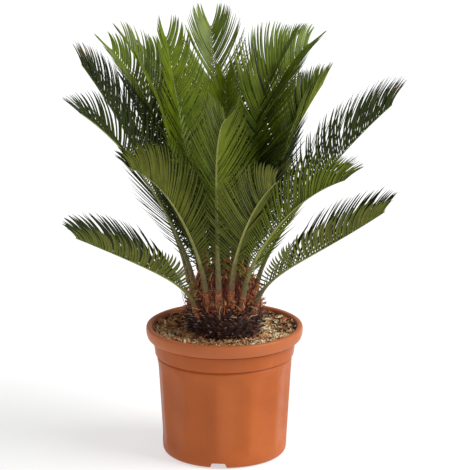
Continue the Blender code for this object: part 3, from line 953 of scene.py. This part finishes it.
def make_fibres(materials, rng):
    """Short fibres all over the trunk, and loose strips of bark."""
    fibres = Builder()
    for _ in range(FIBRE_COUNT):
        height = rng.uniform(0.0, TRUNK_PROFILE[-1][0] - 0.002)
        azimuth = rng.uniform(0.0, math.tau)
        point, normal, climb = trunk_frame(azimuth, height, rng.uniform(*FIBRE_CLEAR))
        numbers = WOOL_FIBRES if is_woolly(azimuth, height, rng) else DARK_FIBRES
        kind = rng.choices(numbers["tones"], weights=numbers["weights"])[0]
        along = fibre_way(normal, climb, numbers, rng)
        length = rng.uniform(*numbers["lengths"])
        radius = rng.uniform(*FIBRE_RADII)
        strand(fibres, point, along, length, radius, FIBRE_CURL, kind, rng, droop=FIBRE_DROOP)
    for _ in range(STRIP_COUNT):
        height = rng.uniform(*STRIP_HEIGHTS)
        azimuth = rng.uniform(0.0, math.tau)
        point, normal, climb = trunk_frame(azimuth, height, rng.uniform(*STRIP_CLEAR))
        along = fibre_way(normal, climb, STRIPS, rng)
        radius = rng.uniform(*STRIP_RADII)
        kind = rng.choices(STRIPS["tones"], weights=STRIPS["weights"])[0]
        length = rng.uniform(*STRIPS["lengths"])
        strand(fibres, point, along, length, radius, STRIP_CURL, kind, rng, steps=6)
    fibres.piece("trunk_fibres", materials)


def make_trunk():
    """Core, scales and fibres, which share one run of random draws."""
    rng = random.Random(TRUNK_SEED)
    materials = trunk_materials()
    make_core(materials, rng)
    scales = Builder()
    grow_scales(scales, OLD_BASES, rng)
    grow_scales(scales, YOUNG_SCALES, rng)
    scales.piece("trunk_scales", materials, sharp=50.0)
    make_fibres(materials, rng)


class Frond:
    """A frond's midrib path, frames and leaflet sizes, by the rule of its solid."""

    def __init__(self, name, numbers):
        self.name = name
        self.azimuth = math.radians(numbers["azimuth"])
        self.foot_height = numbers["foot"]
        self.lean = numbers["lean"]
        self.droop = numbers["droop"]
        self.length = numbers["length"]
        self.sweep = numbers["sweep"]
        self.roll = numbers["roll"]
        self.foot_keel, self.keel = numbers["keels"]
        self.longest_leaflet = numbers["leaflet"]
        self.tone = numbers["tone"]
        # Painted shade: how far from the foot each side's leaflets take the deep green tones
        self.dark = {-1: numbers["dark"], 1: numbers.get("shade", numbers["dark"])}
        self.spacing = numbers["spacing"]
        self.points = self.integrate()

    def angles(self, share):
        """Rise above level and azimuth of the rib, in radians."""
        bend = (FOOT_RISE - self.lean) * math.exp(-share / FOOT_BEND)
        rise = self.lean + bend - self.droop * share ** 2
        return math.radians(rise), self.azimuth + math.radians(self.sweep) * share

    def tangent(self, share):
        rise, azimuth = self.angles(share)
        level = math.cos(rise)
        return Vector((level * math.cos(azimuth), level * math.sin(azimuth), math.sin(rise)))

    def integrate(self):
        point = trunk_frame(self.azimuth, self.foot_height, PETIOLE_STEP_OUT)[0]
        point.z += PETIOLE_STEP_UP
        points = [point]
        for step in range(PATH_STEPS):
            point = point + self.tangent((step + 0.5) / PATH_STEPS) * (self.length / PATH_STEPS)
            points.append(point)
        return points

    def point(self, share):
        place = min(max(share, 0.0), 1.0) * PATH_STEPS
        index = min(int(place), PATH_STEPS - 1)
        return self.points[index].lerp(self.points[index + 1], place - index)

    def frame(self, share):
        """Direction along the rib, sideways direction and the blade's upper normal."""
        azimuth = self.angles(share)[1]
        along = self.tangent(share)
        level = Vector((-math.sin(azimuth), math.cos(azimuth), 0.0))
        roll = math.radians(self.roll) * min(1.0, share / ROLL_STRETCH)
        side = level * math.cos(roll) + along.cross(level) * math.sin(roll)
        return along, side, along.cross(side)

    def rib_width(self, share):
        return RIB_WIDTH_AT_TIP + (RIB_WIDTH_AT_FOOT - RIB_WIDTH_AT_TIP) * (1.0 - share) ** RIB_TAPER

    def blade_share(self, share):
        """Share of the blade, which starts beyond the petiole."""
        return max(0.0, (share - PETIOLE_SHARE) / (1.0 - PETIOLE_SHARE))

    def leaflet_length(self, share):
        """Spines on the petiole, longest before the middle, short again at the tip."""
        blade = self.blade_share(share)
        rising = min(1.0, FIRST_LEAFLET_SHARE + LEAFLET_RISE_RATE * blade)
        if share < PETIOLE_SHARE:
            rising *= max(0.12, 1.0 - (PETIOLE_SHARE - share) / (PETIOLE_SHARE - FIRST_SPINE_SHARE))
        beyond = max(0.0, (blade - LEAFLET_FALL_FROM) / (1.0 - LEAFLET_FALL_FROM))
        falling = 1.0 - LEAFLET_FALL * beyond ** LEAFLET_FALL_POWER
        return self.longest_leaflet * rising * falling

    def leaflet_angles(self, share):
        """Splay from the rib and keel above the blade's plane, in degrees."""
        blade = self.blade_share(share)
        splay = SPLAY_AT_FOOT + (SPLAY_AT_TIP - SPLAY_AT_FOOT) * blade
        splay += SPINE_SPLAY * max(0.0, 1.0 - share / PETIOLE_SHARE)
        keel = self.foot_keel + (self.keel - self.foot_keel) * min(1.0, KEEL_RATE * blade)
        return splay, keel

    def leaflet_shares(self):
        """Places of the leaflets: widely set spines on the petiole, then close and even."""
        share = FIRST_SPINE_SHARE
        shares = []
        closest = LEAFLET_PITCH[self.tone] * self.spacing
        while share < LAST_LEAFLET_SHARE:
            shares.append(share)
            closing = min(1.0, share / (PETIOLE_SHARE * 1.6))
            pitch = SPINE_PITCH + (closest - SPINE_PITCH) * closing ** 2
            share += pitch / self.length
        return shares


# Faces of a leaflet by material, and how far on the deep green ones come. The edge's darker tone is
# painted shade between leaflets, and the deep green tones are painted shade.
UPPER, LOWER, SHADED_EDGE, DRY = range(4)
PAINTED_SHADE = 4


def blade_width(share):
    """Half width of a leaflet along its length, as a part of its widest: narrow foot, long point."""
    foot = min(1.0, 0.7 + share / 0.10 * 0.3)
    point = 1.0 if share < 0.35 else max(0.0, 1.0 - ((share - 0.35) / 0.65) ** 2.6)
    return foot * point


def leaflet_ring(point, across, normal, half, thick):
    """Section of a leaflet: a low ridge above, a hollow below and rolled-down edges."""
    edge = across * half
    roll = across * (half * ROLL_IN)
    edge_fall = normal * (half * EDGE_FALL)
    roll_fall = normal * (half * ROLL_FALL + thick)
    return [
        point + normal * (thick + half * RIDGE_RISE),
        point + edge - edge_fall,
        point + roll - roll_fall,
        point - normal * (thick - half * HOLLOW_RISE),
        point - roll - roll_fall,
        point - edge - edge_fall,
    ]


def grow_leaflet(builder, frond, share, turn, rng):
    """One leaflet, or a spine on the petiole: stiff, narrow, bowed forward, with a sharp point."""
    along, side, up = frond.frame(share)
    spread = SPINE_SPREAD if share < PETIOLE_SHARE else LEAFLET_SPREAD
    splay, keel = frond.leaflet_angles(share)
    clump = Vector((share * frond.length * CLUMP_RATE, frond.azimuth * 7.0, turn * 3.0))
    splay += rng.gauss(0.0, spread) + CLUMP_TURN * noise.noise(clump)
    keel += rng.gauss(0.0, spread) + CLUMP_TURN * CLUMP_KEEL * noise.noise(clump + UP * 9.0)
    length = frond.leaflet_length(share) * rng.uniform(0.94, 1.02)
    widest = LEAFLET_WIDTH[frond.tone] / 2.0 * min(1.0, 0.45 + length / 0.10) * rng.uniform(0.9, 1.05)
    twist = math.radians(rng.gauss(LEAFLET_TWIST, TWIST_SPREAD)) * turn
    # Painted shade: leaflets within the frond's dark stretch take the deep green tones
    deep = share < frond.dark[turn] + rng.gauss(0.0, DEEP_SPREAD)
    if deep:
        widest *= DEEP_WIDENING
    rib = frond.rib_width(share)
    point = frond.point(share) + side * (turn * rib * 0.25) + up * (rib * 0.15)
    steps = LEAFLET_STEPS if length > SHORT_LEAFLET else SHORT_LEAFLET_STEPS
    dry_from, dry_to, dry_share = DRIED.get(frond.name, (2.0, 2.0, 0.0))
    dry = dry_from <= share <= dry_to and rng.random() < dry_share
    rings = []
    for step in range(steps + 1):
        place = step / steps
        angle = math.radians(splay + LEAFLET_CURVE * (0.5 - place))
        lift = math.radians(keel + LEAFLET_LIFT * (0.5 - place))
        outward = side * (turn * math.cos(lift)) + up * math.sin(lift)
        direction = along * math.cos(angle) + outward * math.sin(angle)
        direction = (direction - UP * (LEAFLET_DROOP * place * place)).normalized()
        across = (along - direction * along.dot(direction)).normalized()
        normal = across.cross(direction) * turn
        if normal.dot(up) < 0.0:
            normal.negate()
        tilted = across * math.cos(twist) + normal * math.sin(twist)
        normal = normal * math.cos(twist) - across * math.sin(twist)
        half = max(NEEDLE_HALF_WIDTH, widest * blade_width(place))
        thick = LEAFLET_THICKNESS * (1.0 - 0.6 * place) / 2.0
        rings.append(leaflet_ring(point, tilted, normal, half, thick))
        if step < steps:
            point = point + direction * (length / steps)
    # The rolled edges take the darker edge tone: painted shade between neighbouring leaflets.
    row = [UPPER, SHADED_EDGE, LOWER, LOWER, SHADED_EDGE, UPPER]
    if deep:
        row = [kind + PAINTED_SHADE for kind in row]
    kinds = [row] * steps
    if dry:
        kinds = [row if step < steps * DRY_FROM else [DRY] * len(row) for step in range(steps)]
    builder.loft(rings, kinds)


def make_leaflets(frond, tones, rng):
    builder = Builder()
    for share in frond.leaflet_shares():
        for turn in (1, -1):
            jitter = rng.uniform(-LEAFLET_JITTER, LEAFLET_JITTER) / frond.length
            place = min(LAST_LEAFLET_SHARE, share + jitter)
            grow_leaflet(builder, frond, place, turn, rng)
    # The deep green tones, painted shade, come last
    materials = [*tones[frond.tone], tones["dry"], *tones["deep"]]
    builder.piece(frond.name + "_leaflets", materials, [frond.name])


def make_rib(frond, rib_materials, rng):
    """Petiole and midrib: round below, grooved above, from a swollen woolly base on the trunk."""
    builder = Builder()
    rings = []
    kinds = []
    for below, half_width, half_depth in PETIOLE_BASE:
        height = frond.foot_height - below
        centre, normal, climb = trunk_frame(frond.azimuth, height, half_depth - PETIOLE_SINK)
        across = climb.cross(normal).normalized()
        ring = ring_points(centre, across, across.cross(climb), half_width, half_depth, RIB_SIDES)
        rings.append([shaken(corner, PETIOLE_ROUGH, rng) for corner in ring])
        kinds.append([rng.choice(RIB_WOOLS) for _ in range(RIB_SIDES)])
    reaches = [rng.uniform(0.6, 1.5) for _ in range(RIB_SIDES)]
    for step in range(RIB_ROWS + 1):
        share = (step / RIB_ROWS) ** RIB_ROW_POWER
        along, side, up = frond.frame(share)
        flare = 1.0 + PETIOLE_FLARE * max(0.0, 1.0 - share / PETIOLE_FLARE_SHARE)
        half = frond.rib_width(share) / 2.0 * flare
        centre = frond.point(share)
        ring = []
        for index in range(RIB_SIDES):
            angle = math.tau * index / RIB_SIDES
            reach_up = half * (RIB_ABOVE if math.sin(angle) > 0.0 else RIB_BELOW)
            dent = GROOVE_DEPTH if index in GROOVE_SIDES else 1.0
            across = side * (half * math.cos(angle))
            ring.append(centre + across + up * (reach_up * math.sin(angle) * dent))
        rings.append(ring)
        row = []
        for reach in reaches:
            tone = sum(share * reach * rng.uniform(0.85, 1.15) >= limit for limit in RIB_TONE_LIMITS)
            row.append(tone if tone else rng.choice(RIB_WOOLS))
        kinds.append(row)
    builder.loft(rings, kinds[:-1])
    builder.piece(frond.name + "_rib", rib_materials)


def leaf_tones():
    """For each tone the leaflets' upper face, lower face and edge, and the tone of dried ones; the dark
    edge and the deep tones are painted shade.
    """
    def faces(name, upper, lower, edge, shine):
        gloss = mottled(name + "_upper", *upper, 45.0, 0.36, Specular_IOR_Level=shine)
        matte = mottled(name + "_lower", *lower, 45.0, 0.58, Specular_IOR_Level=0.15)
        # The edge tone is darker than either face: painted shade between neighbouring leaflets.
        lip = Shader(name + "_edge", 0.6, Base_Color=linear(*edge), Specular_IOR_Level=0.15)
        return gloss, matte, lip.material

    return {
        # Deep green, a darker copy of the leaf tones: painted shade for fronds and stretches inside the
        # crown
        "deep": faces(
            "leaf_deep_painted_shade",
            ((34, 46, 16), (50, 64, 24)),
            ((52, 62, 22), (72, 84, 34)),
            (24, 34, 12),
            0.30,
        ),
        "olive": faces(
            "leaf_olive",
            ((34, 44, 14), (50, 62, 20)),
            ((87, 94, 28), (110, 116, 42)),
            (44, 52, 16),
            0.25,
        ),
        "fresh": faces(
            "leaf_fresh",
            ((80, 99, 12), (113, 131, 24)),
            ((98, 110, 26), (124, 136, 42)),
            (32, 46, 11),
            0.28,
        ),
        "dry": mottled("leaf_dry", (100, 78, 44), (140, 112, 70), 60.0, 0.7),
    }


def make_fronds():
    tones = leaf_tones()
    ribs = [
        wool("petiole_wool", (116, 58, 28), (184, 102, 52), 200.0, 0.9),
        mottled("petiole_brown", (84, 62, 40), (126, 94, 58), 200.0, 0.75, 0.0004),
        mottled("petiole_dull", (84, 76, 42), (120, 108, 62), 180.0, 0.65, 0.0003),
        mottled("petiole_olive", (98, 96, 44), (130, 128, 64), 160.0, 0.6, 0.0002),
        mottled("rib_yellow", (132, 134, 62), (160, 158, 82), 120.0, 0.5),
        mottled("rib_tip", (98, 110, 46), (124, 134, 62), 120.0, 0.5),
        mottled("petiole_maroon", (78, 34, 20), (122, 58, 34), 200.0, 0.9, 0.0006),
    ]
    for number, (name, numbers) in enumerate(FRONDS.items()):
        frond = Frond(name, numbers)
        make_leaflets(frond, tones, random.Random(LEAFLET_SEED + number))
        make_rib(frond, ribs, random.Random(RIB_SEED + number))


def make_stage():
    """A plain pale floor."""
    mesh = bpy.data.meshes.new("floor")
    corners = [(x * FLOOR_REACH, y * FLOOR_REACH, 0) for x, y in ((-1, -1), (1, -1), (1, 1), (-1, 1))]
    mesh.from_pydata(corners, [], [(0, 1, 2, 3)])
    tone = (FLOOR_TONE, FLOOR_TONE, FLOOR_TONE, 1.0)
    pale = Shader("floor_pale", 0.9, Base_Color=tone, Emission_Color=WHITE, Emission_Strength=FLOOR_GLOW)
    mesh.materials.append(pale.material)
    floor = put("floor", mesh)
    floor.location.z = -FLOOR_DROP


def make_lights():
    """A broad soft sun from the right, in an even white studio."""
    data = bpy.data.lights.new("sun", "SUN")
    data.energy = SUN_STRENGTH
    data.angle = math.radians(SUN_WIDTH)
    sun = put("sun", data)
    sun.rotation_euler = TO_SUN.to_track_quat("Z", "Y").to_euler()
    world = bpy.data.worlds.new("studio")
    world.use_nodes = True
    background = world.node_tree.nodes["Background"]
    background.inputs["Color"].default_value = WHITE
    background.inputs["Strength"].default_value = WORLD_STRENGTH
    bpy.context.scene.world = world
    bpy.context.scene.view_settings.view_transform = "Standard"


def make_camera():
    data = bpy.data.cameras.new("camera")
    data.lens = CAMERA_LENS
    data.sensor_width = CAMERA_SENSOR
    data.clip_end = 60.0
    camera = put("camera", data)
    camera.location = CAMERA_PLACE
    camera.rotation_euler = (math.radians(90.0 - CAMERA_TILT), 0.0, 0.0)
    bpy.context.scene.camera = camera


make_camera()
make_stage()
make_lights()
make_pot()
make_soil()
make_trunk()
make_fronds()
